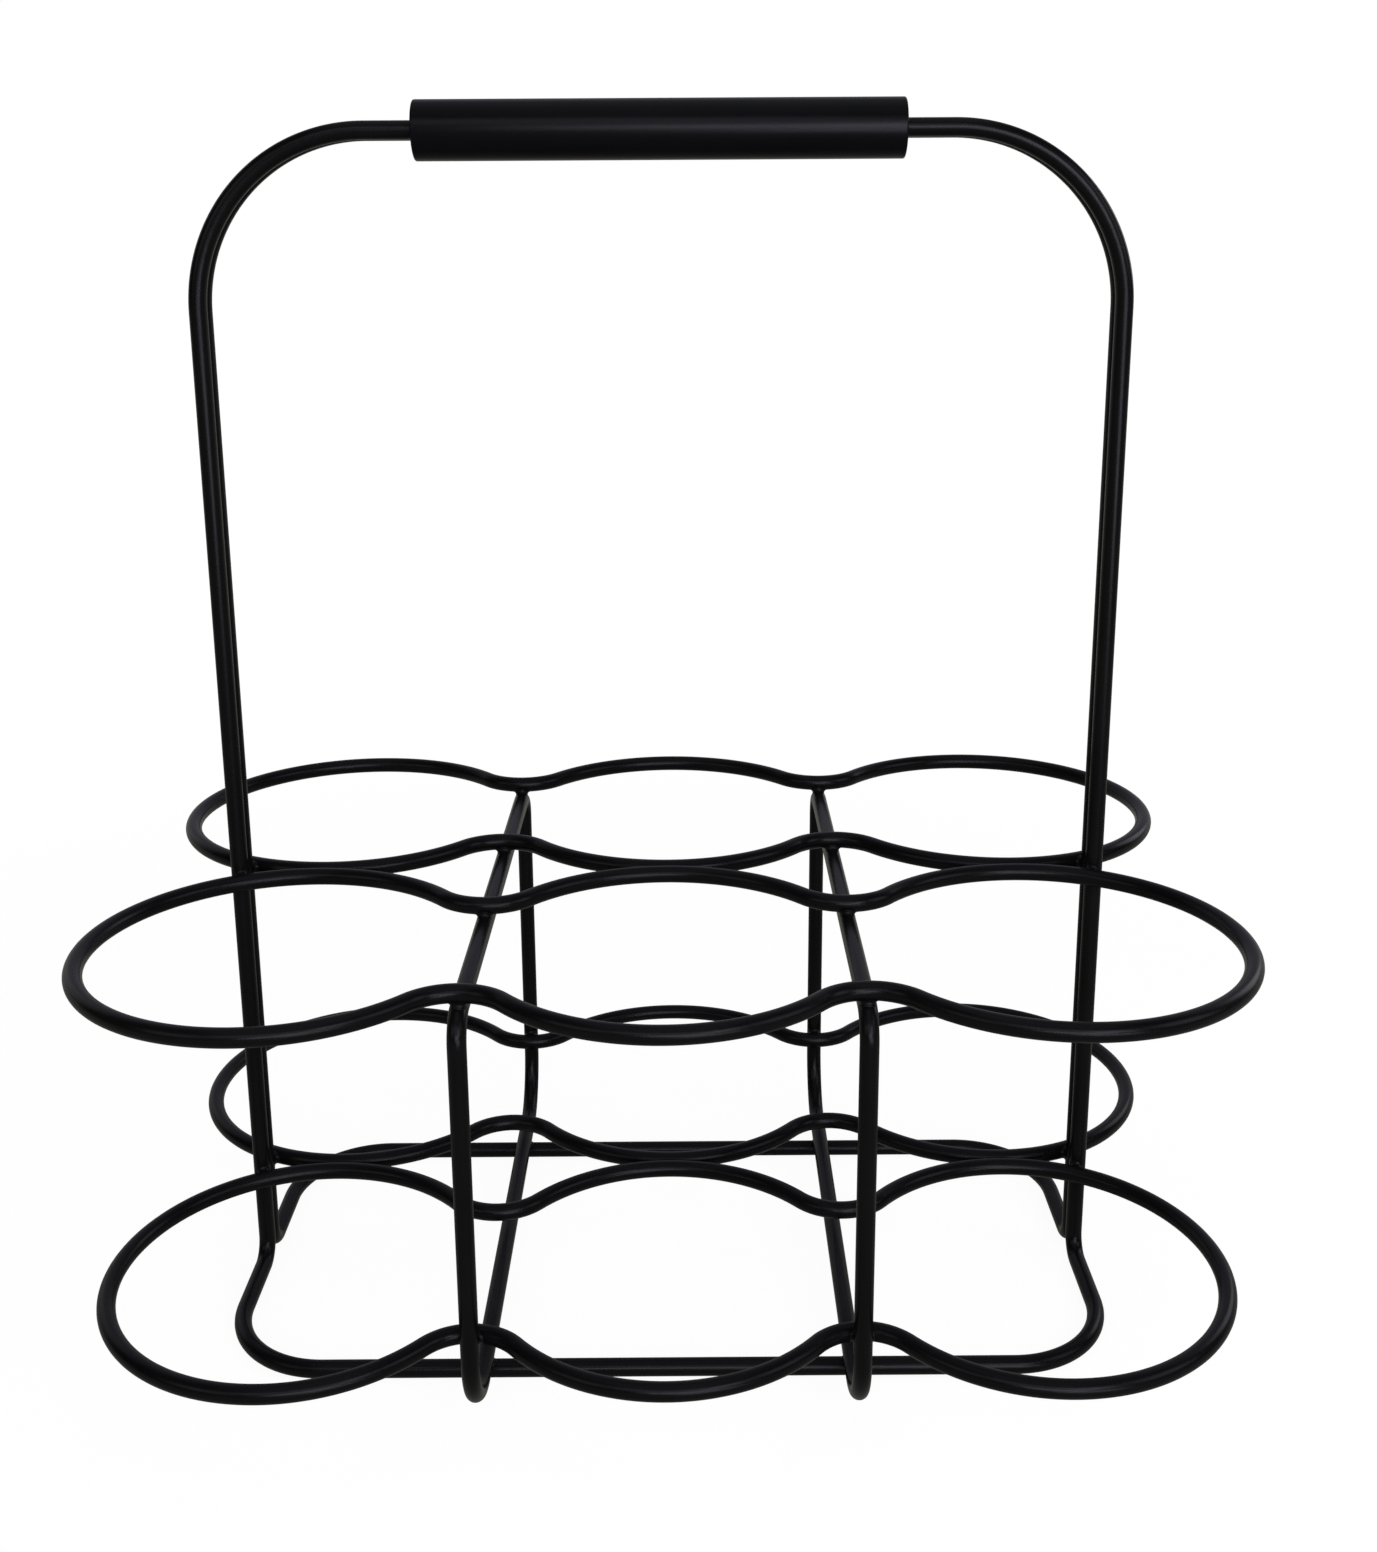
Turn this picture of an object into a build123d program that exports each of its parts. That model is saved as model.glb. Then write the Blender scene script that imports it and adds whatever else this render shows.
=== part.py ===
from build123d import *
import os
from math import atan2, cos, degrees, hypot, pi, sqrt, tan

# Bottle caddy for six bottles in two rows of three: eight closed loops of
# round steel wire, welded where they touch, and a turning sleeve as its grip.
# X runs along a row, Y from the front row to the rear row, Z up.
# The origin is on the floor under the middle of the caddy. Millimetres.

# Driving dimensions of the wire and the bottle bays
wire_diameter = 5.0
wire_sides = 8
bottle_pitch = 103.0
lobe_radius = 52.0
waist_radius = 16.0
lower_ring_height = 31.4
upper_ring_height = 129.0

# Driving dimensions of the two tall frames
handle_height = 341.0
handle_corner_radius = 47.5
foot_reach = 58.5
foot_corner_radius = 28.8
foot_bend_radius = 6.5

# Driving dimensions of the two dividers
divider_top_radius = 7.5
divider_bottom_radius = 19.0

# Driving dimensions of the grip
grip_diameter = 16.0
grip_length = 132.0
grip_bore_clearance = 0.08
grip_rim_chamfer = 0.6
grip_mouth_chamfer = 0.4

# The round wire is drawn as an octagon bar, so it has flats and corners
wire_radius = wire_diameter / 2
wire_corner_radius = wire_radius / cos(pi / wire_sides)
wire_flat = wire_diameter * tan(pi / wire_sides)

# Both rows of rings touch at the middle plane, one wire beside the other
row_offset = lobe_radius + wire_radius

# Each waist is an arc that is tangent to the two lobes beside it
waist_centre_offset = sqrt((lobe_radius + waist_radius) ** 2 - (bottle_pitch / 2) ** 2)
waist_offset = waist_centre_offset - waist_radius
waist_angle = degrees(atan2(waist_centre_offset, bottle_pitch / 2))

# The legs stand side by side, and each touches an end lobe of its own row from outside
leg_clear_radius = lobe_radius + wire_radius + wire_corner_radius
leg_offset = bottle_pitch + sqrt(leg_clear_radius ** 2 - lobe_radius ** 2)

# The floor bars lie on the floor, and the divider bars lie across them
floor_bar_height = wire_radius
divider_bottom_height = floor_bar_height + wire_diameter

# The upper rings lie on the divider tops. The lower rings lie between the divider
# legs, whose flats sit in the hollow outer sides of the waists.
divider_top_height = upper_ring_height - wire_diameter
waist_hollow_radius = waist_radius - wire_radius
hollow_depth = waist_hollow_radius - sqrt(waist_hollow_radius ** 2 - (wire_flat / 2) ** 2)
divider_reach = row_offset + waist_offset + wire_diameter + hollow_depth

# The grip's bore clears the outermost corners of the two handle bars
grip_bore_radius = hypot(wire_diameter, wire_flat / 2) + grip_bore_clearance

rows = {"front": -1, "rear": 1}
sides = {"left": -1, "right": 1}
levels = {"lower": lower_ring_height, "upper": upper_ring_height}


def draw_wire_section():
    """Section of the round wire: an octagon whose flats lie where wires cross."""
    RegularPolygon(wire_radius, wire_sides, major_radius=False, rotation=180 / wire_sides)


def make_ring(row, height):
    """Wavy loop with three lobes, which holds one row of bottles."""
    ring_plane = Plane((0, row * row_offset, height))
    with BuildPart() as ring:
        with BuildLine(ring_plane):
            CenterArc((-bottle_pitch, 0), lobe_radius, 180, waist_angle - 180)
            CenterArc((-bottle_pitch / 2, waist_centre_offset), waist_radius,
                      waist_angle - 180, 180 - 2 * waist_angle)
            CenterArc((0, 0), lobe_radius, 180 - waist_angle, waist_angle - 90)
            mirror(about=Plane.YZ)
            mirror(about=ring_plane.rotated((90, 0, 0)))
        with BuildSketch(Plane((0, row * row_offset + lobe_radius, height), z_dir=(1, 0, 0))):
            draw_wire_section()
        sweep()
    return ring


def make_frame(row):
    """Tall loop: handle bar, two legs, two feet and a floor bar under one row."""
    leg_y = row * wire_radius
    bar_y = row * foot_reach
    with BuildPart() as frame:
        with BuildLine():
            FilletPolyline(
                (-leg_offset, leg_y, handle_height),
                (-leg_offset, leg_y, floor_bar_height),
                (-leg_offset, bar_y, floor_bar_height),
                (leg_offset, bar_y, floor_bar_height),
                (leg_offset, leg_y, floor_bar_height),
                (leg_offset, leg_y, handle_height),
                radius=[
                    handle_corner_radius, foot_bend_radius, foot_corner_radius,
                    foot_corner_radius, foot_bend_radius, handle_corner_radius,
                ],
                close=True,
            )
        with BuildSketch(Plane((0, leg_y, handle_height), z_dir=(1, 0, 0))):
            draw_wire_section()
        sweep()
    return frame


def make_divider(side):
    """Upright loop between two bays, with tight top and wide bottom corners."""
    with BuildPart() as divider:
        with BuildLine(Plane((side * bottle_pitch / 2, 0, 0), x_dir=(0, 1, 0), z_dir=(1, 0, 0))):
            FilletPolyline(
                (-divider_reach, divider_top_height),
                (divider_reach, divider_top_height),
                (divider_reach, divider_bottom_height),
                (-divider_reach, divider_bottom_height),
                radius=[
                    divider_top_radius, divider_top_radius,
                    divider_bottom_radius, divider_bottom_radius,
                ],
                close=True,
            )
        with BuildSketch(Plane((side * bottle_pitch / 2, 0, divider_top_height), z_dir=(0, 1, 0))):
            draw_wire_section()
        sweep()
    return divider


os.makedirs("parts", exist_ok=True)

for level_name, ring_height in levels.items():
    for row_name, row_sign in rows.items():
        ring = make_ring(row_sign, ring_height)
        ring.part.label = f"{level_name}_ring_{row_name}"
        export_step(ring.part, f"parts/{ring.part.label}.step")

for row_name, row_sign in rows.items():
    frame = make_frame(row_sign)
    frame.part.label = f"frame_{row_name}"
    export_step(frame.part, f"parts/{frame.part.label}.step")

for side_name, side_sign in sides.items():
    divider = make_divider(side_sign)
    divider.part.label = f"divider_{side_name}"
    export_step(divider.part, f"parts/{divider.part.label}.step")

# The grip is a sleeve that turns on the pair of handle bars
with BuildPart() as grip:
    with BuildSketch(Plane((-grip_length / 2, 0, handle_height), z_dir=(1, 0, 0))):
        Circle(grip_diameter / 2)
        Circle(grip_bore_radius, mode=Mode.SUBTRACT)
    extrude(amount=grip_length)
    end_rims = grip.edges().filter_by(GeomType.CIRCLE).group_by(SortBy.RADIUS)
    chamfer(end_rims[-1], grip_rim_chamfer)
    chamfer(end_rims[0], grip_mouth_chamfer)
grip.part.label = "grip"
export_step(grip.part, "parts/grip.step")
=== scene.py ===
"""Dress the bottle caddy: coated round wires, welds, the grip sleeve, floor, lamps and camera."""

import logging
import math
from collections.abc import Callable, Mapping, Sequence
from dataclasses import dataclass, field
from enum import Enum
from typing import Any

import bmesh
import bpy
import numpy as np
from mathutils import Matrix, Vector


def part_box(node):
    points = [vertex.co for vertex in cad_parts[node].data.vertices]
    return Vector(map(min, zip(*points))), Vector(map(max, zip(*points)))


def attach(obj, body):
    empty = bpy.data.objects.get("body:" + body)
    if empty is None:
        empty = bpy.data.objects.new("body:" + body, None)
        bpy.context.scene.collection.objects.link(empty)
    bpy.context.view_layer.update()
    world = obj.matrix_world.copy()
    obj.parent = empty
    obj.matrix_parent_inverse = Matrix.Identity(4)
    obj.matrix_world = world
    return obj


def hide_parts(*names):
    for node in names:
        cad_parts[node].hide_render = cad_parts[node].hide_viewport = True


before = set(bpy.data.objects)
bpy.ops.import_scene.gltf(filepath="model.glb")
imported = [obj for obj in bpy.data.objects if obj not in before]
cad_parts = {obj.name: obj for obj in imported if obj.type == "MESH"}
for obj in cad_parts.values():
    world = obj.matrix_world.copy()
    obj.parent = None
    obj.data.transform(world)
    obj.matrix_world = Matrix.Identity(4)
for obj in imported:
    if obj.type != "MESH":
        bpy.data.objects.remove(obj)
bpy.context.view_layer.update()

log = logging.getLogger("bottle_caddy")

MM = 0.001
WIRE_BODY = "caddy"
GRIP_BODY = "grip"

Colour = tuple[float, float, float, float]
Point = tuple[float, float, float]

# How finely the wires are drawn, and how near points are merged
WIRE_SIDES = 32
GREATEST_TURN = math.radians(1.5)
MERGE_DISTANCE = 0.001 * MM

# How finely a weld's collar is drawn, and how deep its rims hide, in wire radii
COLLAR_STATIONS = 72
COLLAR_CUTS = 6
COLLAR_SINK = 0.35

# The searches for a contact and for the ball that rolls round it
CONTACT_TRIES = 40
BALL_TRIES = 30
BALL_NUDGE = 0.001 * MM
BALL_STRIDE = 0.8 * MM
BALL_MISS = 1e-8
TINY = 1e-12

# Sockets of a Mix node that mixes colours
MIX_LOW, MIX_HIGH, MIX_RESULT = 6, 7, 2

WHITE: Colour = (1.0, 1.0, 1.0, 1.0)
WARM: Colour = (1.0, 0.98, 0.86, 1.0)
COOL: Colour = (0.86, 0.86, 1.0, 1.0)


class Row(Enum):
    """The two rows of bays, by the sign of Y."""

    FRONT = -1
    REAR = 1


class Side(Enum):
    """The two sides of the caddy, by the sign of X."""

    LEFT = -1
    RIGHT = 1


class Level(Enum):
    """The two heights at which rings hold the bottles."""

    LOWER = "lower"
    UPPER = "upper"


# Sizes


@dataclass(frozen=True)
class CaddySizes:
    """Sizes of the wires in metres, on their centre lines.

    What a node's box shows is read from the frame. Bend radii are named here.
    """

    wire_radius: float
    bottle_pitch: float
    lobe_radius: float
    lower_ring_height: float
    upper_ring_height: float
    handle_height: float
    leg_offset: float
    foot_reach: float
    divider_reach: float
    waist_radius: float = 16.0 * MM
    handle_corner_radius: float = 47.5 * MM
    foot_corner_radius: float = 28.8 * MM
    foot_bend_radius: float = 6.5 * MM
    divider_top_radius: float = 7.5 * MM
    divider_bottom_radius: float = 19.0 * MM

    @classmethod
    def from_frame(cls) -> "CaddySizes":
        """Read the sizes from the boxes of the frame's nodes."""
        ring_low, ring_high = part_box("lower_ring_front")
        upper_low, upper_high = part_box("upper_ring_front")
        divider_low, divider_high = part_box("divider_right")
        frame_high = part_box("frame_rear")[1]
        wire_radius = (divider_high.x - divider_low.x) / 2
        lobe_radius = (ring_high.y - ring_low.y) / 2 - wire_radius
        return cls(
            wire_radius=wire_radius,
            bottle_pitch=ring_high.x - wire_radius - lobe_radius,
            lobe_radius=lobe_radius,
            lower_ring_height=(ring_low.z + ring_high.z) / 2,
            upper_ring_height=(upper_low.z + upper_high.z) / 2,
            handle_height=frame_high.z - wire_radius,
            leg_offset=frame_high.x - wire_radius,
            foot_reach=frame_high.y - wire_radius,
            divider_reach=divider_high.y - wire_radius,
        )

    @property
    def wire_diameter(self) -> float:
        """Thickness of every wire."""
        return 2 * self.wire_radius

    @property
    def row_offset(self) -> float:
        """Distance of each row's middle line from the handle's plane."""
        return self.lobe_radius + self.wire_radius

    @property
    def waist_centre_offset(self) -> float:
        """Distance of a waist's centre from its row's middle line."""
        return math.sqrt((self.lobe_radius + self.waist_radius) ** 2 - (self.bottle_pitch / 2) ** 2)

    @property
    def waist_offset(self) -> float:
        """Distance of the wire at a waist from its row's middle line."""
        return self.waist_centre_offset - self.waist_radius

    @property
    def waist_angle(self) -> float:
        """Angle at which a lobe hands over to its waist, in radians."""
        return math.atan2(self.waist_centre_offset, self.bottle_pitch / 2)

    @property
    def divider_top_height(self) -> float:
        """Height of a divider's top bar, one wire under the upper rings."""
        return self.upper_ring_height - self.wire_diameter

    @property
    def divider_bottom_height(self) -> float:
        """Height of a divider's bottom bar, which lies on the floor bars."""
        return self.wire_radius + self.wire_diameter

    def ring_height(self, level: Level) -> float:
        """Height of the rings of one level."""
        return self.lower_ring_height if level is Level.LOWER else self.upper_ring_height


@dataclass(frozen=True)
class SleeveSizes:
    """Sizes of the grip sleeve in metres."""

    height: float
    radius: float
    half_length: float
    bore_radius: float = 5.19 * MM
    rim_round: float = 0.55 * MM
    mouth_round: float = 0.4 * MM
    round_steps: int = 6
    facets: int = 128

    @classmethod
    def from_frame(cls) -> "SleeveSizes":
        """Read the sleeve's outside from the frame's grip."""
        low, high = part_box("grip")
        return cls((low.z + high.z) / 2, (high.z - low.z) / 2, (high.x - low.x) / 2)


# Wire paths


def turned(vector: np.ndarray, axis: np.ndarray, angle: float) -> np.ndarray:
    """Turn a vector about an axis.

    Args:
        vector: The vector to turn.
        axis: Unit vector of the axis.
        angle: Angle in radians, by the right-hand rule.

    Returns:
        The turned vector.
    """
    return (
        vector * math.cos(angle)
        + np.cross(axis, vector) * math.sin(angle)
        + axis * np.dot(axis, vector) * (1 - math.cos(angle))
    )


@dataclass(frozen=True)
class Run:
    """A straight stretch of wire."""

    start: np.ndarray
    end: np.ndarray

    def points(self, step: float) -> list[np.ndarray]:
        """Points along the run without its end, which is its start alone; the greatest turn is not
        used.
        """
        return [self.start]

    def nearest(self, point: np.ndarray) -> np.ndarray:
        """Find the point of the run that lies nearest to another point.

        Args:
            point: The other point.

        Returns:
            The nearest point.
        """
        along = self.end - self.start
        share = np.dot(point - self.start, along) / max(np.dot(along, along), TINY)
        return self.start + along * min(max(share, 0.0), 1.0)


@dataclass(frozen=True)
class Bend:
    """A stretch of wire that is bent to an arc."""

    centre: np.ndarray
    start: np.ndarray
    axis: np.ndarray
    sweep: float

    def points(self, step: float) -> list[np.ndarray]:
        """Divide the arc into points.

        Args:
            step: Greatest turn from one point to the next, in radians.

        Returns:
            The points along the arc without its end.
        """
        count = max(2, math.ceil(abs(self.sweep) / step))
        spoke = self.start - self.centre
        return [
            self.centre + turned(spoke, self.axis, self.sweep * index / count)
            for index in range(count)
        ]

    def nearest(self, point: np.ndarray) -> np.ndarray:
        """Find the point of the arc that lies nearest to another point.

        Args:
            point: The other point.

        Returns:
            The nearest point.
        """
        spoke = self.start - self.centre
        radius = np.linalg.norm(spoke)
        across = np.cross(self.axis, spoke / radius)
        offset = point - self.centre
        angle = math.atan2(np.dot(offset, across), np.dot(offset, spoke / radius))
        if self.sweep < 0:
            angle = -angle
        reach = abs(self.sweep)
        middle = reach / 2
        angle = (angle - middle + math.pi) % (2 * math.pi) - math.pi + middle
        angle = min(max(angle, 0.0), reach)
        return self.centre + turned(spoke, self.axis, math.copysign(angle, self.sweep))


@dataclass(frozen=True)
class WirePath:
    """Closed centre line of one bent wire."""

    spans: tuple[Run | Bend, ...]

    @classmethod
    def rounded(cls, corners: Sequence[Point], radii: Sequence[float]) -> "WirePath":
        """Closed path through corners that are rounded.

        Args:
            corners: The corners in order.
            radii: One bend radius for each corner.

        Returns:
            The path, as runs joined by tangent bends.
        """
        places = [np.array(corner) for corner in corners]
        bends = []
        for index, (place, radius) in enumerate(zip(places, radii)):
            before = places[index - 1] - place
            after = places[(index + 1) % len(places)] - place
            before /= np.linalg.norm(before)
            after /= np.linalg.norm(after)
            opening = math.acos(float(np.clip(np.dot(before, after), -1, 1)))
            half_way = before + after
            half_way /= np.linalg.norm(half_way)
            axis = np.cross(-before, after)
            axis /= np.linalg.norm(axis)
            centre = place + half_way * radius / math.sin(opening / 2)
            start = place + before * radius / math.tan(opening / 2)
            bends.append(Bend(centre, start, axis, math.pi - opening))
        spans: list[Run | Bend] = []
        for index, bend in enumerate(bends):
            end = bend.centre + turned(bend.start - bend.centre, bend.axis, bend.sweep)
            spans += [bend, Run(end, bends[(index + 1) % len(bends)].start)]
        return cls(tuple(spans))

    def line(self, step: float) -> np.ndarray:
        """Points along the closed path.

        Args:
            step: Greatest turn from one point to the next, in radians.

        Returns:
            One row of coordinates for each point.
        """
        return np.array([point for span in self.spans for point in span.points(step)])

    def nearest(self, point: np.ndarray) -> np.ndarray:
        """Point of the path that lies nearest to another point."""
        found = [span.nearest(point) for span in self.spans]
        return min(found, key=lambda place: float(np.linalg.norm(place - point)))


# Node trees


class Value:
    """A number on a node's socket, on which Python's operators add Math nodes."""

    def __init__(self, sheet: "Sheet", socket: bpy.types.NodeSocket | None) -> None:
        """Keep the sheet that holds the socket and the socket itself."""
        self.sheet = sheet
        self.socket = socket

    def _math(self, operation: str, *operands: Any, clamp: bool = False) -> "Value":
        """Add one Math node on some operands."""
        return self.sheet.node(
            "ShaderNodeMath",
            {"operation": operation, "use_clamp": clamp},
            dict(enumerate(operands)),
        )

    def __add__(self, other: Any) -> "Value":
        """Sum."""
        return self._math("ADD", self, other)

    def __radd__(self, other: Any) -> "Value":
        """Sum, with the number first."""
        return self._math("ADD", other, self)

    def __sub__(self, other: Any) -> "Value":
        """Difference."""
        return self._math("SUBTRACT", self, other)

    def __rsub__(self, other: Any) -> "Value":
        """Difference, with the number first."""
        return self._math("SUBTRACT", other, self)

    def __mul__(self, other: Any) -> "Value":
        """Product."""
        return self._math("MULTIPLY", self, other)

    def __rmul__(self, other: Any) -> "Value":
        """Product, with the number first."""
        return self._math("MULTIPLY", other, self)

    def most(self, other: Any) -> "Value":
        """The larger of two values."""
        return self._math("MAXIMUM", self, other)

    def held(self) -> "Value":
        """The value, held between 0 and 1."""
        return self._math("ADD", self, 0.0, clamp=True)

    def ramped(self, low: float, high: float) -> "Value":
        """A smooth rise from 0 at one value to 1 at another."""
        return self.sheet.node(
            "ShaderNodeMapRange",
            {"interpolation_type": "SMOOTHSTEP"},
            {"Value": self, "From Min": low, "From Max": high},
        )


class Sheet:
    """A node tree that is filled by calls."""

    def __init__(self, tree: bpy.types.NodeTree) -> None:
        """Empty the tree and keep it."""
        self.tree = tree
        self.tree.nodes.clear()

    def node(
        self,
        kind: str,
        settings: Mapping[str, Any] | None = None,
        inputs: Mapping[str | int, Any] | None = None,
        output: str | int = 0,
    ) -> Value:
        """Add one node, set it and feed it.

        Args:
            kind: The node's type.
            settings: Its settings, which are set before its sockets are read.
            inputs: Numbers, colours, data or values for its sockets.
            output: The socket that is handed back.

        Returns:
            The chosen output, which is empty for a node without any.
        """
        made = self.tree.nodes.new(kind)
        for name, setting in (settings or {}).items():
            setattr(made, name, setting)
        for name, source in (inputs or {}).items():
            socket = made.inputs[name]
            if isinstance(source, Value):
                self.tree.links.new(source.socket, socket)
            else:
                socket.default_value = source
        return Value(self, made.outputs[output] if len(made.outputs) else None)

    def given(self) -> dict[str, Value]:
        """The group's own inputs, by their names."""
        entry = self.tree.nodes.new("NodeGroupInput")
        return {socket.name: Value(self, socket) for socket in entry.outputs if socket.name}

    def coated(self, shape: Value, coat: Value) -> Value:
        """A shape whose instances are made real, with its material."""
        real = self.node("GeometryNodeRealizeInstances", {}, {"Geometry": shape})
        return self.node("GeometryNodeSetMaterial", {}, {"Geometry": real, "Material": coat})

    def tint(self, factor: Any, low: Any, high: Any) -> Value:
        """Mix two colours by a factor."""
        return self.node(
            "ShaderNodeMix",
            {"data_type": "RGBA"},
            {"Factor": factor, MIX_LOW: low, MIX_HIGH: high},
            MIX_RESULT,
        )

    def noise(self, place: Value, size: float, detail: float = 2.0, rough: float = 0.5) -> Value:
        """Smooth noise whose lumps are about as wide as the given size in metres."""
        return self.node(
            "ShaderNodeTexNoise",
            {"noise_dimensions": "3D"},
            {"Vector": place, "Scale": 1 / size, "Detail": detail, "Roughness": rough},
        )


# Finishes


@dataclass(frozen=True)
class SatinBlack:
    """A satin black finish with fine orange peel, for the coat and the sleeve.

    Wide clouds and the fine grain lift the colour from deep to lifted. The clouds and
    the peel swing the roughness, and the grain ripples it. The clouds have the same
    share of both mixes. A fade names the mixes at which the lift starts and ends.
    """

    name: str
    deep: Colour
    lifted: Colour
    roughness: float
    roughness_swing: float
    peel_size: float
    peel_height: float
    grain_size: float
    grain_height: float
    specular: float = 0.16
    gloss_tint: Colour = COOL
    cloud_size: float = 22.0 * MM
    cloud_share: float = 0.6
    grain_swing: float = 0.5
    fade: tuple[float, float] = (0.3, 0.7)

    def material(self) -> bpy.types.Material:
        """Build the finish's material.

        Returns:
            The material, whose noises are on Object coordinates.
        """
        made = bpy.data.materials.new(self.name)
        made.use_nodes = True
        made.diffuse_color = self.deep
        sheet = Sheet(made.node_tree)
        place = sheet.node("ShaderNodeTexCoord", output="Object")
        cloud = sheet.noise(place, self.cloud_size, detail=3.0)
        peel = sheet.noise(place, self.peel_size)
        grain = sheet.noise(place, self.grain_size, detail=3.0, rough=0.6)
        rest = 1.0 - self.cloud_share
        flow = (cloud - 0.5) * self.cloud_share + (peel - 0.5) * rest
        ripple = (grain - 0.5) * self.roughness_swing * self.grain_swing
        roughness = (flow * self.roughness_swing + ripple + self.roughness).held()
        peeled = sheet.node(
            "ShaderNodeBump",
            {},
            {"Strength": 1.0, "Distance": self.peel_height, "Height": peel},
        )
        grained = sheet.node(
            "ShaderNodeBump",
            {},
            {"Strength": 1.0, "Distance": self.grain_height, "Height": grain, "Normal": peeled},
        )
        lift = (cloud * self.cloud_share + grain * rest).ramped(*self.fade)
        colour = sheet.tint(lift, self.deep, self.lifted)
        shader = sheet.node(
            "ShaderNodeBsdfPrincipled",
            {},
            {
                "Base Color": colour,
                "Roughness": roughness,
                "Specular IOR Level": self.specular,
                "Specular Tint": self.gloss_tint,
                "Normal": grained,
            },
        )
        sheet.node("ShaderNodeOutputMaterial", {}, {"Surface": shader})
        return made


WIRE_COAT = SatinBlack(
    name="satin_powder_coat",
    deep=(0.0033, 0.0032, 0.0036, 1.0),
    lifted=(0.0050, 0.0049, 0.0054, 1.0),
    roughness=0.26,
    roughness_swing=0.08,
    peel_size=1.1 * MM,
    peel_height=0.003 * MM,
    grain_size=0.28 * MM,
    grain_height=0.0012 * MM,
)

WELD_COAT = SatinBlack(
    name="pooled_powder_coat",
    deep=(0.0030, 0.0029, 0.0032, 1.0),
    lifted=(0.0046, 0.0044, 0.0048, 1.0),
    roughness=0.31,
    roughness_swing=0.12,
    peel_size=0.8 * MM,
    peel_height=0.006 * MM,
    grain_size=0.25 * MM,
    grain_height=0.002 * MM,
)

SLEEVE_PLASTIC = SatinBlack(
    name="satin_sleeve_plastic",
    deep=(0.0017, 0.0018, 0.0027, 1.0),
    lifted=(0.0024, 0.0025, 0.0037, 1.0),
    roughness=0.30,
    roughness_swing=0.08,
    peel_size=1.6 * MM,
    peel_height=0.004 * MM,
    grain_size=0.3 * MM,
    grain_height=0.0015 * MM,
)


# Meshes


def new_piece(name: str, data: bpy.types.ID) -> bpy.types.Object:
    """Make an object and put it in the scene.

    Args:
        name: Name of the object.
        data: Its mesh, curve, lamp or camera.

    Returns:
        The object.
    """
    piece = bpy.data.objects.new(name, data)
    bpy.context.scene.collection.objects.link(piece)
    return piece


def add_socket(tree: bpy.types.NodeTree, name: str, kind: str, to_tree: bool = True) -> str:
    """Give a node group a named socket.

    Args:
        tree: The node group.
        name: The socket's name.
        kind: The socket's type.
        to_tree: True for an input and False for an output.

    Returns:
        The socket's identifier.
    """
    way = "INPUT" if to_tree else "OUTPUT"
    return tree.interface.new_socket(name=name, in_out=way, socket_type=kind).identifier


def settle(carrier: bpy.types.Object, name: str) -> bpy.types.Object:
    """Turn a carrier's evaluated geometry into a plain mesh piece.

    Args:
        carrier: Object with a geometry nodes modifier, which is removed with it.
        name: Name of the new piece.

    Returns:
        The new piece, at the origin and with no modifier.
    """
    graph = bpy.context.evaluated_depsgraph_get()
    mesh = bpy.data.meshes.new_from_object(carrier.evaluated_get(graph), depsgraph=graph)
    mesh.name = name
    bpy.data.objects.remove(carrier)
    face_outward(mesh)
    return new_piece(name, mesh)


def face_outward(mesh: bpy.types.Mesh) -> None:
    """Merge doubles, turn every face outward and smooth the shading.

    Args:
        mesh: A closed mesh, which is changed.
    """
    shell = bmesh.new()
    shell.from_mesh(mesh)
    bmesh.ops.remove_doubles(shell, verts=shell.verts, dist=MERGE_DISTANCE)
    bmesh.ops.recalc_face_normals(shell, faces=shell.faces)
    if shell.calc_volume(signed=True) < 0:
        bmesh.ops.reverse_faces(shell, faces=shell.faces)
    for face in shell.faces:
        face.smooth = True
    shell.to_mesh(mesh)
    shell.free()


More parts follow.
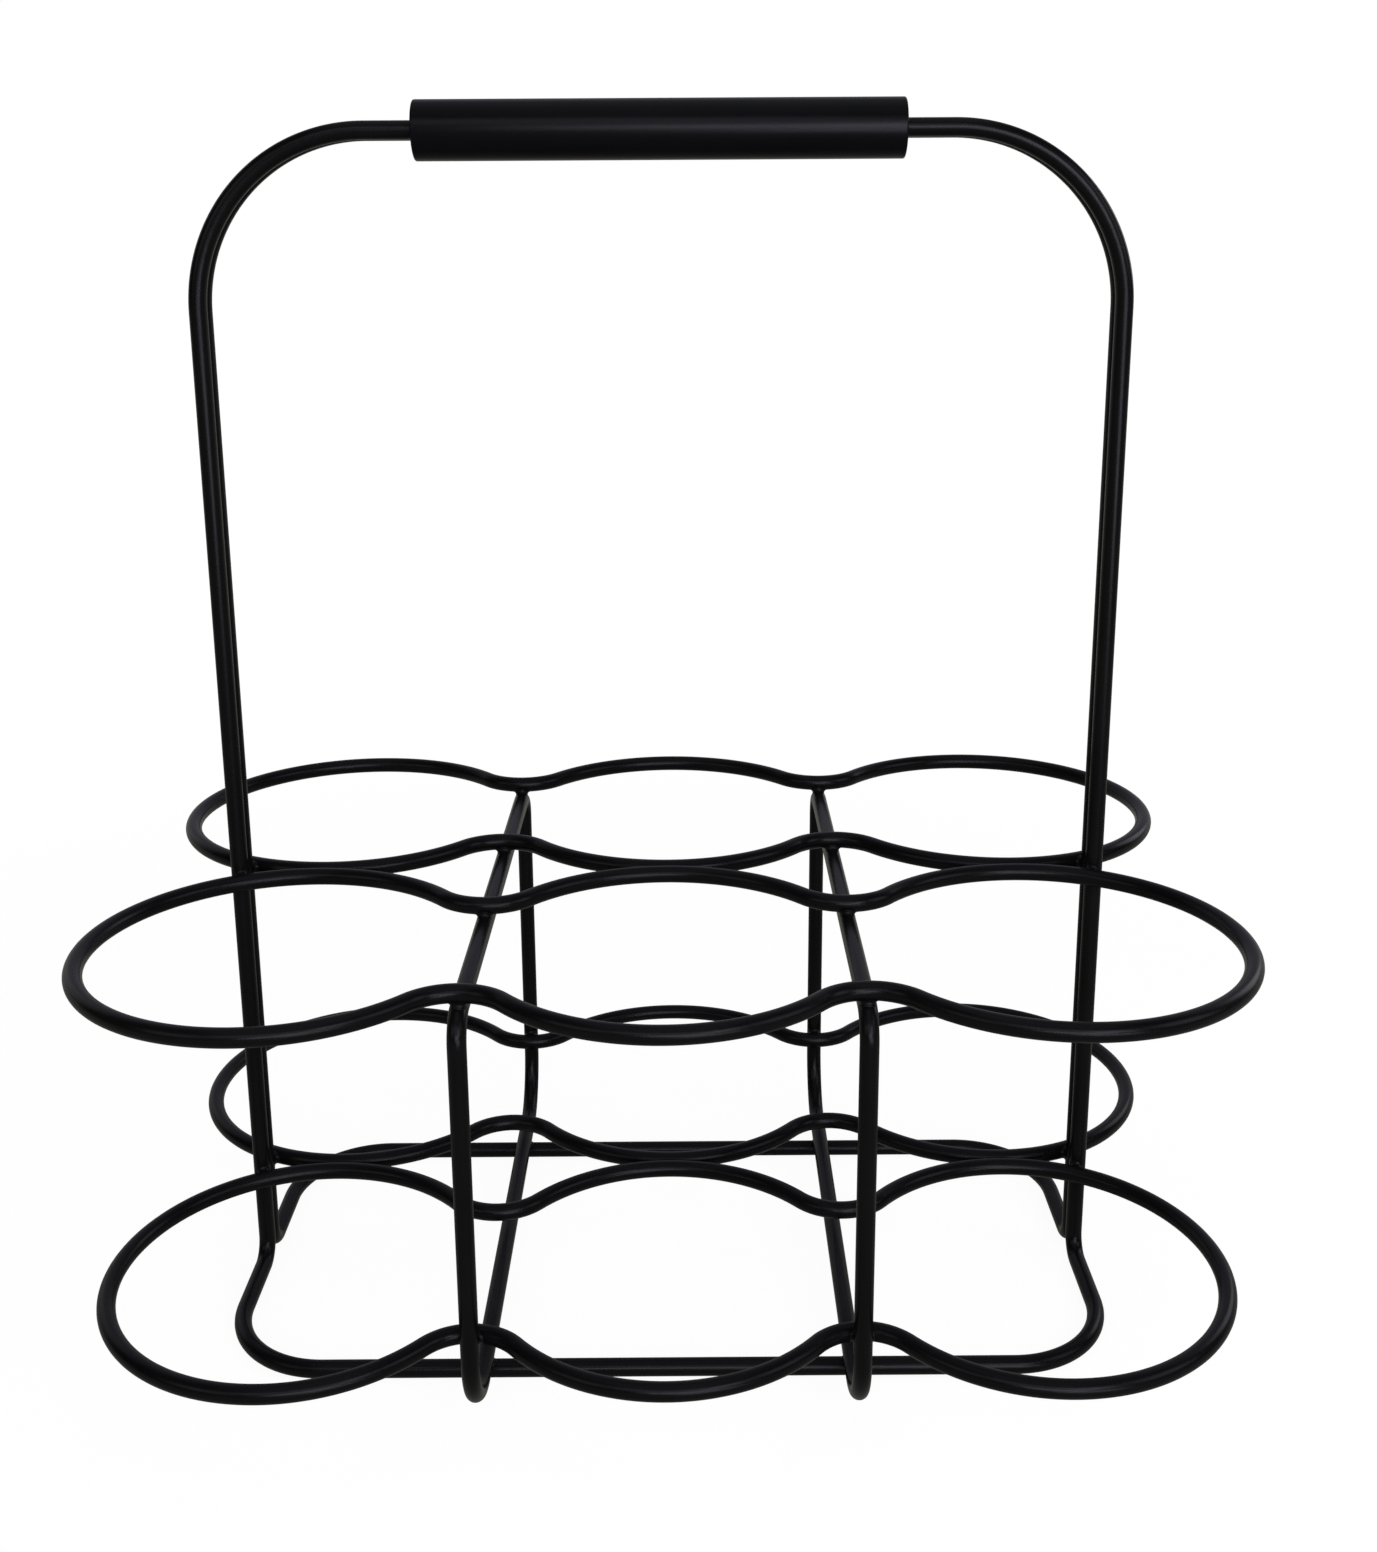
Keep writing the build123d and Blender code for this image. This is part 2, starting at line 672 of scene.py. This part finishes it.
class WireSweep:
    """Sweeps a round wire along a path, as a node group shared by all wires."""

    def __init__(self) -> None:
        """Build the group: a circle that follows the path, smoothed and coated."""
        self.tree = bpy.data.node_groups.new("wire_sweep", "GeometryNodeTree")
        add_socket(self.tree, "Path", "NodeSocketGeometry")
        self.radius_id = add_socket(self.tree, "Wire radius", "NodeSocketFloat")
        self.sides_id = add_socket(self.tree, "Sides", "NodeSocketInt")
        self.coat_id = add_socket(self.tree, "Coat", "NodeSocketMaterial")
        add_socket(self.tree, "Wire", "NodeSocketGeometry", False)
        sheet = Sheet(self.tree)
        given = sheet.given()
        section = sheet.node(
            "GeometryNodeCurvePrimitiveCircle",
            {"mode": "RADIUS"},
            {"Resolution": given["Sides"], "Radius": given["Wire radius"]},
        )
        tube = sheet.node(
            "GeometryNodeCurveToMesh", {}, {"Curve": given["Path"], "Profile Curve": section}
        )
        smooth = sheet.node("GeometryNodeSetShadeSmooth", {}, {"Geometry": tube})
        sheet.node("NodeGroupOutput", {}, {"Wire": sheet.coated(smooth, given["Coat"])})

    def make(
        self, name: str, path: WirePath, radius: float, coat: bpy.types.Material
    ) -> bpy.types.Object:
        """Sweep one wire.

        Args:
            name: Name of the piece.
            path: The wire's closed centre line.
            radius: The wire's radius.
            coat: The wire's material.

        Returns:
            The wire as a plain mesh.
        """
        points = path.line(GREATEST_TURN)
        curve = bpy.data.curves.new(name + "_line", "CURVE")
        curve.dimensions = "3D"
        spline = curve.splines.new("POLY")
        spline.points.add(len(points) - 1)
        spline.points.foreach_set("co", np.c_[points, np.ones(len(points))].ravel())
        spline.use_cyclic_u = True
        carrier = new_piece(name + "_carrier", curve)
        sweep = carrier.modifiers.new("sweep", "NODES")
        sweep.node_group = self.tree
        sweep[self.radius_id] = radius
        sweep[self.sides_id] = WIRE_SIDES
        sweep[self.coat_id] = coat
        piece = settle(carrier, name)
        bpy.data.curves.remove(curve)
        return piece


@dataclass(frozen=True)
class WeldKind:
    """One kind of weld: where two wires touch, and the fillet that bridges them."""

    name: str
    first: WirePath
    second: WirePath
    near: Point
    bridge: float
    spots: tuple[tuple[Point, float], ...]

    def collar(self, wire_radius: float) -> bpy.types.Mesh:
        """Build the fillet round the contact, with the contact at the origin.

        A ball of the bridge's radius rolls round the contact while it touches both
        wires, and its near side is the fillet's surface.

        Args:
            wire_radius: Radius of both wires.

        Returns:
            A closed mesh.
        """
        middle, normal = self.contact()
        along = np.cross(normal, (0.0, 0.0, 1.0))
        if np.linalg.norm(along) < 0.5:  # The wires lie one on the other
            along = np.array((1.0, 0.0, 0.0))
        along /= np.linalg.norm(along)
        across = np.cross(normal, along)
        reach = wire_radius + self.bridge
        spread = math.sqrt(reach**2 - wire_radius**2)
        rise = 0.0
        loops: list[list[np.ndarray]] = []
        for index in range(COLLAR_STATIONS):
            angle = math.pi / 2 + 2 * math.pi * index / COLLAR_STATIONS
            ray = along * math.cos(angle) + across * math.sin(angle)
            spread, rise = self.ball_place(middle, ray, normal, reach, spread, rise)
            ball = middle + ray * spread + normal * rise
            loops.append(self.station(ball, reach, wire_radius))
        return self.shell(loops, middle)

    def contact(self) -> tuple[np.ndarray, np.ndarray]:
        """Find where the wires touch, by going to and fro between their centre lines.

        Returns:
            Middle of the contact, and the direction from the first wire to the second.
        """
        place = np.array(self.near)
        for _ in range(CONTACT_TRIES):
            on_first = self.first.nearest(place)
            place = self.second.nearest(on_first)
        normal = place - on_first
        return (place + on_first) / 2, normal / np.linalg.norm(normal)

    def ball_place(
        self,
        middle: np.ndarray,
        ray: np.ndarray,
        normal: np.ndarray,
        reach: float,
        spread: float,
        rise: float,
    ) -> tuple[float, float]:
        """Find where the ball touches both wires, by Newton's method.

        Args:
            middle: Middle of the contact.
            ray: Direction from the contact in its plane.
            normal: Direction from the first wire to the second.
            reach: Distance of the ball's centre from both centre lines.
            spread: First guess of the distance along the ray.
            rise: First guess of the distance along the normal.

        Returns:
            The distances along the ray and along the normal.
        """

        def miss(out: float, up: float) -> np.ndarray:
            """How far the ball is from touching each wire."""
            ball = middle + ray * out + normal * up
            return np.array([
                np.linalg.norm(ball - self.first.nearest(ball)) - reach,
                np.linalg.norm(ball - self.second.nearest(ball)) - reach,
            ])

        for _ in range(BALL_TRIES):
            here = miss(spread, rise)
            slope = np.c_[
                (miss(spread + BALL_NUDGE, rise) - here) / BALL_NUDGE,
                (miss(spread, rise + BALL_NUDGE) - here) / BALL_NUDGE,
            ]
            step = np.linalg.lstsq(slope, -here, rcond=None)[0]
            step *= min(1.0, BALL_STRIDE / max(np.abs(step).max(), TINY))
            spread, rise = spread + step[0], rise + step[1]
            if np.abs(here).max() < BALL_MISS:
                break
        return spread, rise

    def station(self, ball: np.ndarray, reach: float, wire_radius: float) -> list[np.ndarray]:
        """Draw the fillet's section at one place of the ball.

        Args:
            ball: Centre of the ball.
            reach: Distance of that centre from both centre lines.
            wire_radius: Radius of both wires.

        Returns:
            Points from inside the first wire, over the fillet, to inside the second.
        """
        to_first = (self.first.nearest(ball) - ball) / reach
        to_second = (self.second.nearest(ball) - ball) / reach
        opening = math.acos(float(np.clip(np.dot(to_first, to_second), -1, 1)))
        section = []
        for cut in range(COLLAR_CUTS + 1):
            share = cut / COLLAR_CUTS
            toward = (
                math.sin(opening * (1 - share)) * to_first + math.sin(opening * share) * to_second
            )
            section.append(ball + self.bridge * toward / math.sin(opening))
        sink = wire_radius * COLLAR_SINK
        return [section[0] + to_first * sink, *section, section[-1] + to_second * sink]

    @staticmethod
    def shell(loops: list[list[np.ndarray]], middle: np.ndarray) -> bpy.types.Mesh:
        """Close the sections to a shell whose rims hide inside the wires.

        Args:
            loops: The sections in order round the contact.
            middle: Middle of the contact, which becomes the mesh's origin.

        Returns:
            The closed mesh.
        """
        shell = bmesh.new()
        rings = [[shell.verts.new(Vector(point - middle)) for point in loop] for loop in loops]
        count, depth = len(rings), len(rings[0])
        for index in range(count):
            here, there = rings[index], rings[(index + 1) % count]
            for cut in range(depth - 1):
                shell.faces.new((here[cut], there[cut], there[cut + 1], here[cut + 1]))
        for end in (0, depth - 1):
            centre = sum((ring[end].co for ring in rings), Vector()) / count
            tip = shell.verts.new(centre)
            for index in range(count):
                shell.faces.new((rings[index][end], rings[(index + 1) % count][end], tip))
        mesh = bpy.data.meshes.new("collar")
        shell.to_mesh(mesh)
        shell.free()
        face_outward(mesh)
        return mesh


class WeldSetter:
    """Sets one collar on each spot, as a node group shared by all kinds of weld."""

    def __init__(self) -> None:
        """Build the group: an instance at each spot, turned about Z and coated."""
        self.tree = bpy.data.node_groups.new("weld_setter", "GeometryNodeTree")
        add_socket(self.tree, "Spots", "NodeSocketGeometry")
        self.collar_id = add_socket(self.tree, "Collar", "NodeSocketObject")
        self.coat_id = add_socket(self.tree, "Coat", "NodeSocketMaterial")
        add_socket(self.tree, "Welds", "NodeSocketGeometry", False)
        sheet = Sheet(self.tree)
        given = sheet.given()
        collar = sheet.node(
            "GeometryNodeObjectInfo",
            {"transform_space": "ORIGINAL"},
            {"Object": given["Collar"]},
            "Geometry",
        )
        turn = sheet.node(
            "GeometryNodeInputNamedAttribute", {"data_type": "FLOAT"}, {"Name": "turn"}
        )
        about_z = sheet.node("ShaderNodeCombineXYZ", {}, {"Z": turn})
        rotation = sheet.node("FunctionNodeEulerToRotation", {}, {0: about_z})
        placed = sheet.node(
            "GeometryNodeInstanceOnPoints",
            {},
            {"Points": given["Spots"], "Instance": collar, "Rotation": rotation},
        )
        sheet.node("NodeGroupOutput", {}, {"Welds": sheet.coated(placed, given["Coat"])})

    def make(
        self, kind: WeldKind, wire_radius: float, coat: bpy.types.Material
    ) -> bpy.types.Object:
        """Set the collars of one kind of weld.

        Args:
            kind: The kind of weld, with its spots.
            wire_radius: Radius of the wires.
            coat: The collars' material.

        Returns:
            All collars of the kind as one plain mesh.
        """
        collar = new_piece(kind.name + "_collar", kind.collar(wire_radius))
        spots = bpy.data.meshes.new(kind.name + "_spots")
        spots.from_pydata([place for place, _ in kind.spots], [], [])
        turns = spots.attributes.new("turn", "FLOAT", "POINT")
        turns.data.foreach_set("value", [turn for _, turn in kind.spots])
        carrier = new_piece(kind.name + "_carrier", spots)
        setter = carrier.modifiers.new("setter", "NODES")
        setter.node_group = self.tree
        setter[self.collar_id] = collar
        setter[self.coat_id] = coat
        piece = settle(carrier, kind.name)
        bpy.data.objects.remove(collar)
        bpy.data.meshes.remove(spots)
        return piece


# Sub-assemblies


@dataclass
class WireWork:
    """The eight wire loops and the welds that join them.

    A bridge is the radius of a weld's fillet.
    """

    sizes: CaddySizes = field(default_factory=CaddySizes.from_frame)
    bridge: float = 0.9 * MM
    ring_to_ring_bridge: float = 0.6 * MM
    outer_bridge: float = 1.0 * MM

    def ring(self, row: Row, level: Level) -> WirePath:
        """Draw a wavy ring with three lobes.

        Args:
            row: The row that the ring holds.
            level: The level at which it holds it.

        Returns:
            The ring's centre line.
        """
        sizes = self.sizes
        up = np.array((0.0, 0.0, 1.0))
        angle = sizes.waist_angle
        lobe_turn = math.pi - 2 * angle
        end_turn = 2 * (math.pi - angle)
        pitch, shift = sizes.bottle_pitch, sizes.waist_centre_offset

        def arc(x: float, y: float, radius: float, start: float, sweep: float) -> Bend:
            """One arc of the ring, in the row's own place."""
            centre = np.array((x, y + row.value * sizes.row_offset, sizes.ring_height(level)))
            spoke = np.array((math.cos(start), math.sin(start), 0.0)) * radius
            return Bend(centre, centre + spoke, up, sweep)

        lobe, waist = sizes.lobe_radius, sizes.waist_radius
        return WirePath((
            arc(pitch, 0.0, lobe, angle - math.pi, end_turn),
            arc(pitch / 2, shift, waist, -angle, -lobe_turn),
            arc(0.0, 0.0, lobe, angle, lobe_turn),
            arc(-pitch / 2, shift, waist, -angle, -lobe_turn),
            arc(-pitch, 0.0, lobe, angle, end_turn),
            arc(-pitch / 2, -shift, waist, math.pi - angle, -lobe_turn),
            arc(0.0, 0.0, lobe, angle - math.pi, lobe_turn),
            arc(pitch / 2, -shift, waist, math.pi - angle, -lobe_turn),
        ))

    def tall_frame(self, row: Row) -> WirePath:
        """Draw a tall loop: handle bar, legs, feet and floor bar.

        Args:
            row: The row under which the floor bar lies.

        Returns:
            The frame's centre line.
        """
        sizes = self.sizes
        reach = sizes.leg_offset
        leg_y = row.value * sizes.wire_radius
        bar_y = row.value * sizes.foot_reach
        top, floor = sizes.handle_height, sizes.wire_radius
        return WirePath.rounded(
            (
                (-reach, leg_y, top),
                (-reach, leg_y, floor),
                (-reach, bar_y, floor),
                (reach, bar_y, floor),
                (reach, leg_y, floor),
                (reach, leg_y, top),
            ),
            (
                sizes.handle_corner_radius,
                sizes.foot_bend_radius,
                sizes.foot_corner_radius,
                sizes.foot_corner_radius,
                sizes.foot_bend_radius,
                sizes.handle_corner_radius,
            ),
        )

    def divider(self, side: Side) -> WirePath:
        """Draw an upright loop between two bays.

        Args:
            side: The side of the middle bays on which it stands.

        Returns:
            The divider's centre line.
        """
        sizes = self.sizes
        x = side.value * sizes.bottle_pitch / 2
        reach = sizes.divider_reach
        top, bottom = sizes.divider_top_height, sizes.divider_bottom_height
        return WirePath.rounded(
            ((x, -reach, top), (x, reach, top), (x, reach, bottom), (x, -reach, bottom)),
            (
                sizes.divider_top_radius,
                sizes.divider_top_radius,
                sizes.divider_bottom_radius,
                sizes.divider_bottom_radius,
            ),
        )

    def wires(self) -> dict[str, WirePath]:
        """Draw every wire.

        Returns:
            The centre lines, by the names of the nodes that they stand for.
        """
        made = {
            f"{level.value}_ring_{row.name.lower()}": self.ring(row, level)
            for level in Level
            for row in Row
        }
        made.update({f"frame_{row.name.lower()}": self.tall_frame(row) for row in Row})
        made.update({f"divider_{side.name.lower()}": self.divider(side) for side in Side})
        return made

    @staticmethod
    def touching(first: WirePath, second: WirePath, near: Point) -> Point:
        """Middle of the contact of two wires near a place."""
        middle, _ = WeldKind("probe", first, second, near, 0.0, ()).contact()
        return tuple(float(value) for value in middle)

    def leg_spots(self, leg: Point) -> tuple[tuple[Point, float], ...]:
        """Repeat the contact of a ring and a leg at every leg and level.

        Args:
            leg: Its place at the rear, right and upper one.

        Returns:
            The places, each with its turn about Z.
        """
        sizes = self.sizes
        lean = math.atan2(leg[1] - sizes.row_offset, leg[0] - sizes.bottle_pitch)
        spots = []
        for level in Level:
            for row in Row:
                for side in Side:
                    x, y = side.value * leg[0], row.value * leg[1]
                    turn = math.atan2(
                        y - row.value * sizes.row_offset, x - side.value * sizes.bottle_pitch
                    )
                    spots.append(((x, y, sizes.ring_height(level)), turn - lean))
        return tuple(spots)

    def ring_spots(self) -> tuple[tuple[Point, float], ...]:
        """Places where the two rows' rings touch, none of them turned."""
        return tuple(
            ((column * self.sizes.bottle_pitch, 0.0, self.sizes.ring_height(level)), 0.0)
            for level in Level
            for column in (-1, 0, 1)
        )

    @staticmethod
    def divider_spots(place: Point) -> tuple[tuple[Point, float], ...]:
        """Repeat a place at both dividers and both rows.

        Args:
            place: The place at the rear and right.

        Returns:
            The four places, of which the front ones are turned half way round.
        """
        return tuple(
            (
                (side.value * place[0], row.value * place[1], place[2]),
                0.0 if row is Row.REAR else math.pi,
            )
            for side in Side
            for row in Row
        )

    def welds(self) -> list[WeldKind]:
        """Find every kind of weld and the places where it sits.

        Returns:
            The kinds of weld.
        """
        sizes = self.sizes
        wires = self.wires()
        low, high = sizes.lower_ring_height, sizes.upper_ring_height
        lower, upper = wires["lower_ring_rear"], wires["upper_ring_rear"]
        frame_wire, bar = wires["frame_rear"], wires["divider_right"]
        bar_x = sizes.bottle_pitch / 2
        inner_y = sizes.row_offset - sizes.waist_offset
        outer_y = sizes.row_offset + sizes.waist_offset
        leg = self.touching(upper, frame_wire, (sizes.leg_offset, 0.0, high))
        inner = self.touching(bar, upper, (bar_x, inner_y, high))
        outer = self.touching(bar, upper, (bar_x, outer_y, high))
        beside = self.touching(bar, lower, (bar_x, outer_y + sizes.wire_diameter, low))
        under = self.touching(bar, frame_wire, (bar_x, sizes.foot_reach, 0.0))
        return [
            WeldKind(
                "weld_ring_to_leg", upper, frame_wire, leg, self.bridge, self.leg_spots(leg)
            ),
            WeldKind(
                "weld_ring_to_ring",
                wires["upper_ring_front"],
                upper,
                (0.0, 0.0, high),
                self.ring_to_ring_bridge,
                self.ring_spots(),
            ),
            *(
                WeldKind(name, bar, other, place, bridge, self.divider_spots(place))
                for name, other, place, bridge in (
                    ("weld_top_bar_inner", upper, inner, self.bridge),
                    ("weld_top_bar_outer", upper, outer, self.outer_bridge),
                    ("weld_divider_leg", lower, beside, self.bridge),
                    ("weld_floor_bar", frame_wire, under, self.bridge),
                )
            ),
        ]

    def build(self) -> list[bpy.types.Object]:
        """Make, coat and mount every wire and weld.

        Returns:
            The pieces, which ride on the caddy's body.
        """
        coat = WIRE_COAT.material()
        pooled = WELD_COAT.material()
        sweep = WireSweep()
        pieces = []
        for node, path in self.wires().items():
            piece = sweep.make("wire_" + node, path, self.sizes.wire_radius, coat)
            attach(piece, WIRE_BODY)
            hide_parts(node)
            pieces.append(piece)
        setter = WeldSetter()
        for kind in self.welds():
            piece = setter.make(kind, self.sizes.wire_radius, pooled)
            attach(piece, WIRE_BODY)
            pieces.append(piece)
        return pieces


@dataclass
class GripSleeve:
    """The plain sleeve that turns on the pair of handle bars."""

    sizes: SleeveSizes = field(default_factory=SleeveSizes.from_frame)

    def half_profile(self) -> list[tuple[float, float]]:
        """Draw the right half of the sleeve's section.

        Returns:
            Places along X and from the axis, from the bore's middle to the wall's middle.
        """
        sizes = self.sizes
        steps = sizes.round_steps
        profile = [(0.0, sizes.bore_radius)]
        mouth = sizes.mouth_round
        for step in range(steps + 1):
            angle = math.pi / 2 * step / steps
            profile.append((
                sizes.half_length - mouth + mouth * math.sin(angle),
                sizes.bore_radius + mouth - mouth * math.cos(angle),
            ))
        rim = sizes.rim_round
        for step in range(steps + 1):
            angle = math.pi / 2 * step / steps
            profile.append((
                sizes.half_length - rim + rim * math.cos(angle),
                sizes.radius - rim + rim * math.sin(angle),
            ))
        profile.append((0.0, sizes.radius))
        return profile

    def mesh(self) -> bpy.types.Mesh:
        """Turn the section about the handle's axis.

        Returns:
            The closed sleeve.
        """
        right = self.half_profile()
        left = [(-x, radius) for x, radius in reversed(right[1:-1])]
        outline = right + left
        shell = bmesh.new()
        verts = [shell.verts.new((x, 0.0, self.sizes.height + radius)) for x, radius in outline]
        edges = [
            shell.edges.new((verts[index], verts[(index + 1) % len(verts)]))
            for index in range(len(verts))
        ]
        bmesh.ops.spin(
            shell,
            geom=verts + edges,
            cent=(0.0, 0.0, self.sizes.height),
            axis=(1.0, 0.0, 0.0),
            angle=2 * math.pi,
            steps=self.sizes.facets,
            use_merge=True,
        )
        mesh = bpy.data.meshes.new("grip_sleeve")
        shell.to_mesh(mesh)
        shell.free()
        face_outward(mesh)
        return mesh

    def build(self) -> list[bpy.types.Object]:
        """Make, dress and mount the sleeve.

        Returns:
            The sleeve, which rides on the grip's body.
        """
        piece = new_piece("grip_sleeve", self.mesh())
        piece.data.materials.append(SLEEVE_PLASTIC.material())
        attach(piece, GRIP_BODY)
        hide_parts("grip")
        return [piece]


# Studio


MIDDLE: Point = (0.0, 0.0, 0.2)


@dataclass(frozen=True)
class Softbox:
    """A soft rectangular lamp that faces a target, with its power in watts."""

    name: str
    place: Point
    target: Point
    width: float
    height: float
    power: float
    colour: Colour = WHITE

    def build(self) -> None:
        """Hang the lamp and aim it."""
        lamp = bpy.data.lights.new(self.name, "AREA")
        lamp.shape = "RECTANGLE"
        lamp.size = self.width
        lamp.size_y = self.height
        lamp.energy = self.power
        lamp.color = self.colour[:3]
        aim = Vector(self.target) - Vector(self.place)
        turn = aim.to_track_quat("-Z", "Y").to_matrix().to_4x4()
        new_piece(self.name, lamp).matrix_world = Matrix.Translation(self.place) @ turn


@dataclass(frozen=True)
class PhotoCamera:
    """The camera at the photograph's place.

    Its turns are in radians, and its lens and sensor in millimetres.
    """

    place: Point = (7.5582 * MM, -467.8668 * MM, 310.9039 * MM)
    pitch_down: float = 0.2407
    yaw: float = 0.0011
    roll: float = -0.0059
    lens: float = 38.618
    sensor: float = 36.0
    shift_x: float = -0.00277
    shift_y: float = -0.0793
    clip_near: float = 0.01
    clip_far: float = 50.0

    def build(self) -> None:
        """Set the camera up and make it the scene's camera."""
        camera = bpy.data.cameras.new("photo_camera")
        camera.sensor_width = self.sensor
        camera.lens = self.lens
        camera.shift_x = self.shift_x
        camera.shift_y = self.shift_y
        camera.clip_start = self.clip_near
        camera.clip_end = self.clip_far
        ahead = Vector((math.sin(self.yaw), math.cos(self.yaw), 0.0))
        right = Vector((math.cos(self.yaw), -math.sin(self.yaw), 0.0))
        up = Vector((0.0, 0.0, 1.0))
        view = math.cos(self.pitch_down) * ahead - math.sin(self.pitch_down) * up
        top = math.cos(self.pitch_down) * up + math.sin(self.pitch_down) * ahead
        rolled_right = math.cos(self.roll) * right + math.sin(self.roll) * top
        rolled_top = math.cos(self.roll) * top - math.sin(self.roll) * right
        turn = Matrix((rolled_right, rolled_top, -view)).transposed().to_4x4()
        placed = new_piece("photo_camera", camera)
        placed.matrix_world = Matrix.Translation(self.place) @ turn
        bpy.context.scene.camera = placed


@dataclass
class Studio:
    """White surroundings, soft lamps and the camera.

    Reflections see the backdrop and the floor dimmed, at their gloss levels, and
    diffuse light sees the world at the ambient level. A fade names the two places
    between which a level changes.
    """

    lamps: tuple[Softbox, ...] = (
        Softbox("key_softbox", (0.14, -1.18, 0.43), MIDDLE, 0.70, 0.28, 3.1),
        Softbox("side_strip", (0.32, -0.60, 0.43), MIDDLE, 0.20, 0.26, 0.62),
        Softbox("upper_softbox", (-0.10, -1.05, 0.90), MIDDLE, 0.90, 0.45, 1.7),
        Softbox("low_strip", (0.42, -1.10, 0.12), MIDDLE, 0.60, 0.16, 1.6),
        Softbox("left_softbox", (-0.85, -0.80, 0.65), MIDDLE, 0.60, 0.50, 0.8, WARM),
        Softbox("right_softbox", (1.00, -0.45, 0.70), MIDDLE, 0.60, 0.60, 1.5),
        Softbox("top_softbox", (0.0, -0.20, 1.60), MIDDLE, 1.20, 1.50, 2.0),
        Softbox("back_left_softbox", (-1.00, 0.60, 0.60), MIDDLE, 0.70, 0.70, 0.3, WARM),
        Softbox("back_right_softbox", (1.00, 0.60, 0.60), MIDDLE, 0.50, 0.50, 1.2),
    )
    camera: PhotoCamera = field(default_factory=PhotoCamera)
    backdrop_gloss: float = 0.38
    backdrop_fade: tuple[float, float] = (0.1, 0.75)
    ambient: float = 0.28
    floor_reach: float = 12.0
    floor_drop: float = 0.05 * MM
    floor_glow: float = 0.94
    floor_glow_fade: tuple[float, float] = (0.3, 1.1)
    floor_gloss: float = 0.18
    floor_gloss_fade: tuple[float, float] = (0.2, 0.8)
    floor_colour: Colour = (0.10, 0.10, 0.10, 1.0)

    def world(self) -> None:
        """Set up a world that is white to the camera and a backdrop to reflections."""
        world = bpy.data.worlds.new("studio_world")
        world.use_nodes = True
        bpy.context.scene.world = world
        sheet = Sheet(world.node_tree)
        rays = self.rays(sheet)
        toward = sheet.node("ShaderNodeTexCoord", output="Generated")
        depth = sheet.node("ShaderNodeSeparateXYZ", {}, {"Vector": toward}, "Y")
        behind = depth.ramped(*self.backdrop_fade)
        white = rays["camera"].most(rays["through"])
        backdrop = rays["glossy"] * behind * self.backdrop_gloss
        strength = white.most(backdrop + (1 - rays["glossy"]) * self.ambient)
        colour = sheet.tint(rays["glossy"], WHITE, COOL)
        light = sheet.node("ShaderNodeBackground", {}, {"Color": colour, "Strength": strength})
        sheet.node("ShaderNodeOutputWorld", {}, {"Surface": light})

    @staticmethod
    def rays(sheet: Sheet) -> dict[str, Value]:
        """Tell the kinds of ray apart.

        Args:
            sheet: The node tree of the world or the floor.

        Returns:
            A value for each kind, which is 1 for its rays and 0 for others.
        """
        camera = sheet.node("ShaderNodeLightPath", output="Is Camera Ray")
        outputs = camera.socket.node.outputs
        return {
            "camera": camera,
            "glossy": Value(sheet, outputs["Is Glossy Ray"]),
            "through": Value(sheet, outputs["Is Transmission Ray"]),
        }

    def floor(self) -> None:
        """Lay a white floor that keeps the caddy's soft shadow."""
        reach = self.floor_reach
        corner_signs = ((-1, -1), (1, -1), (1, 1), (-1, 1))
        mesh = bpy.data.meshes.new("studio_floor")
        mesh.from_pydata(
            [(x * reach, y * reach, -self.floor_drop) for x, y in corner_signs],
            [],
            [(0, 1, 2, 3)],
        )
        piece = new_piece("studio_floor", mesh)
        made = bpy.data.materials.new("floor_white")
        made.use_nodes = True
        sheet = Sheet(made.node_tree)
        rays = self.rays(sheet)
        place = sheet.node("ShaderNodeTexCoord", output="Object")
        away = sheet.node("ShaderNodeVectorMath", {"operation": "LENGTH"}, {0: place}, "Value")
        white = away.ramped(*self.floor_glow_fade) * (1.0 - self.floor_glow) + self.floor_glow
        seen = rays["camera"].most(rays["through"])
        depth = sheet.node("ShaderNodeSeparateXYZ", {}, {"Vector": place}, "Y")
        behind = depth.ramped(*self.floor_gloss_fade)
        gloss = behind * (self.backdrop_gloss - self.floor_gloss) + self.floor_gloss
        strength = (seen * white).most(rays["glossy"] * gloss)
        matt = sheet.node("ShaderNodeBsdfDiffuse", {}, {"Color": self.floor_colour})
        colour = sheet.tint(rays["glossy"], WHITE, WARM)
        glow = sheet.node("ShaderNodeEmission", {}, {"Color": colour, "Strength": strength})
        both = sheet.node("ShaderNodeAddShader", {}, {0: matt, 1: glow})
        sheet.node("ShaderNodeOutputMaterial", {}, {"Surface": both})
        mesh.materials.append(made)

    def build(self) -> None:
        """Set up the surroundings, the lamps and the camera."""
        bpy.context.scene.view_settings.view_transform = "Standard"
        self.world()
        self.floor()
        for lamp in self.lamps:
            lamp.build()
        self.camera.build()


def corners(box: tuple[Vector, Vector]) -> list[list[float]]:
    """A box's two corners as plain lists."""
    return [list(corner) for corner in box]


def main() -> None:
    """Build the caddy's looks in order."""
    logging.basicConfig(level=logging.INFO, format="%(name)s: %(message)s")
    assemblies: list[Callable[[], list[bpy.types.Object]]] = [
        WireWork().build,
        GripSleeve().build,
    ]
    for build in assemblies:
        for piece in build():
            log.info("%s: %d faces", piece.name, len(piece.data.polygons))
    Studio().build()


if __name__ == "__main__":
    main()
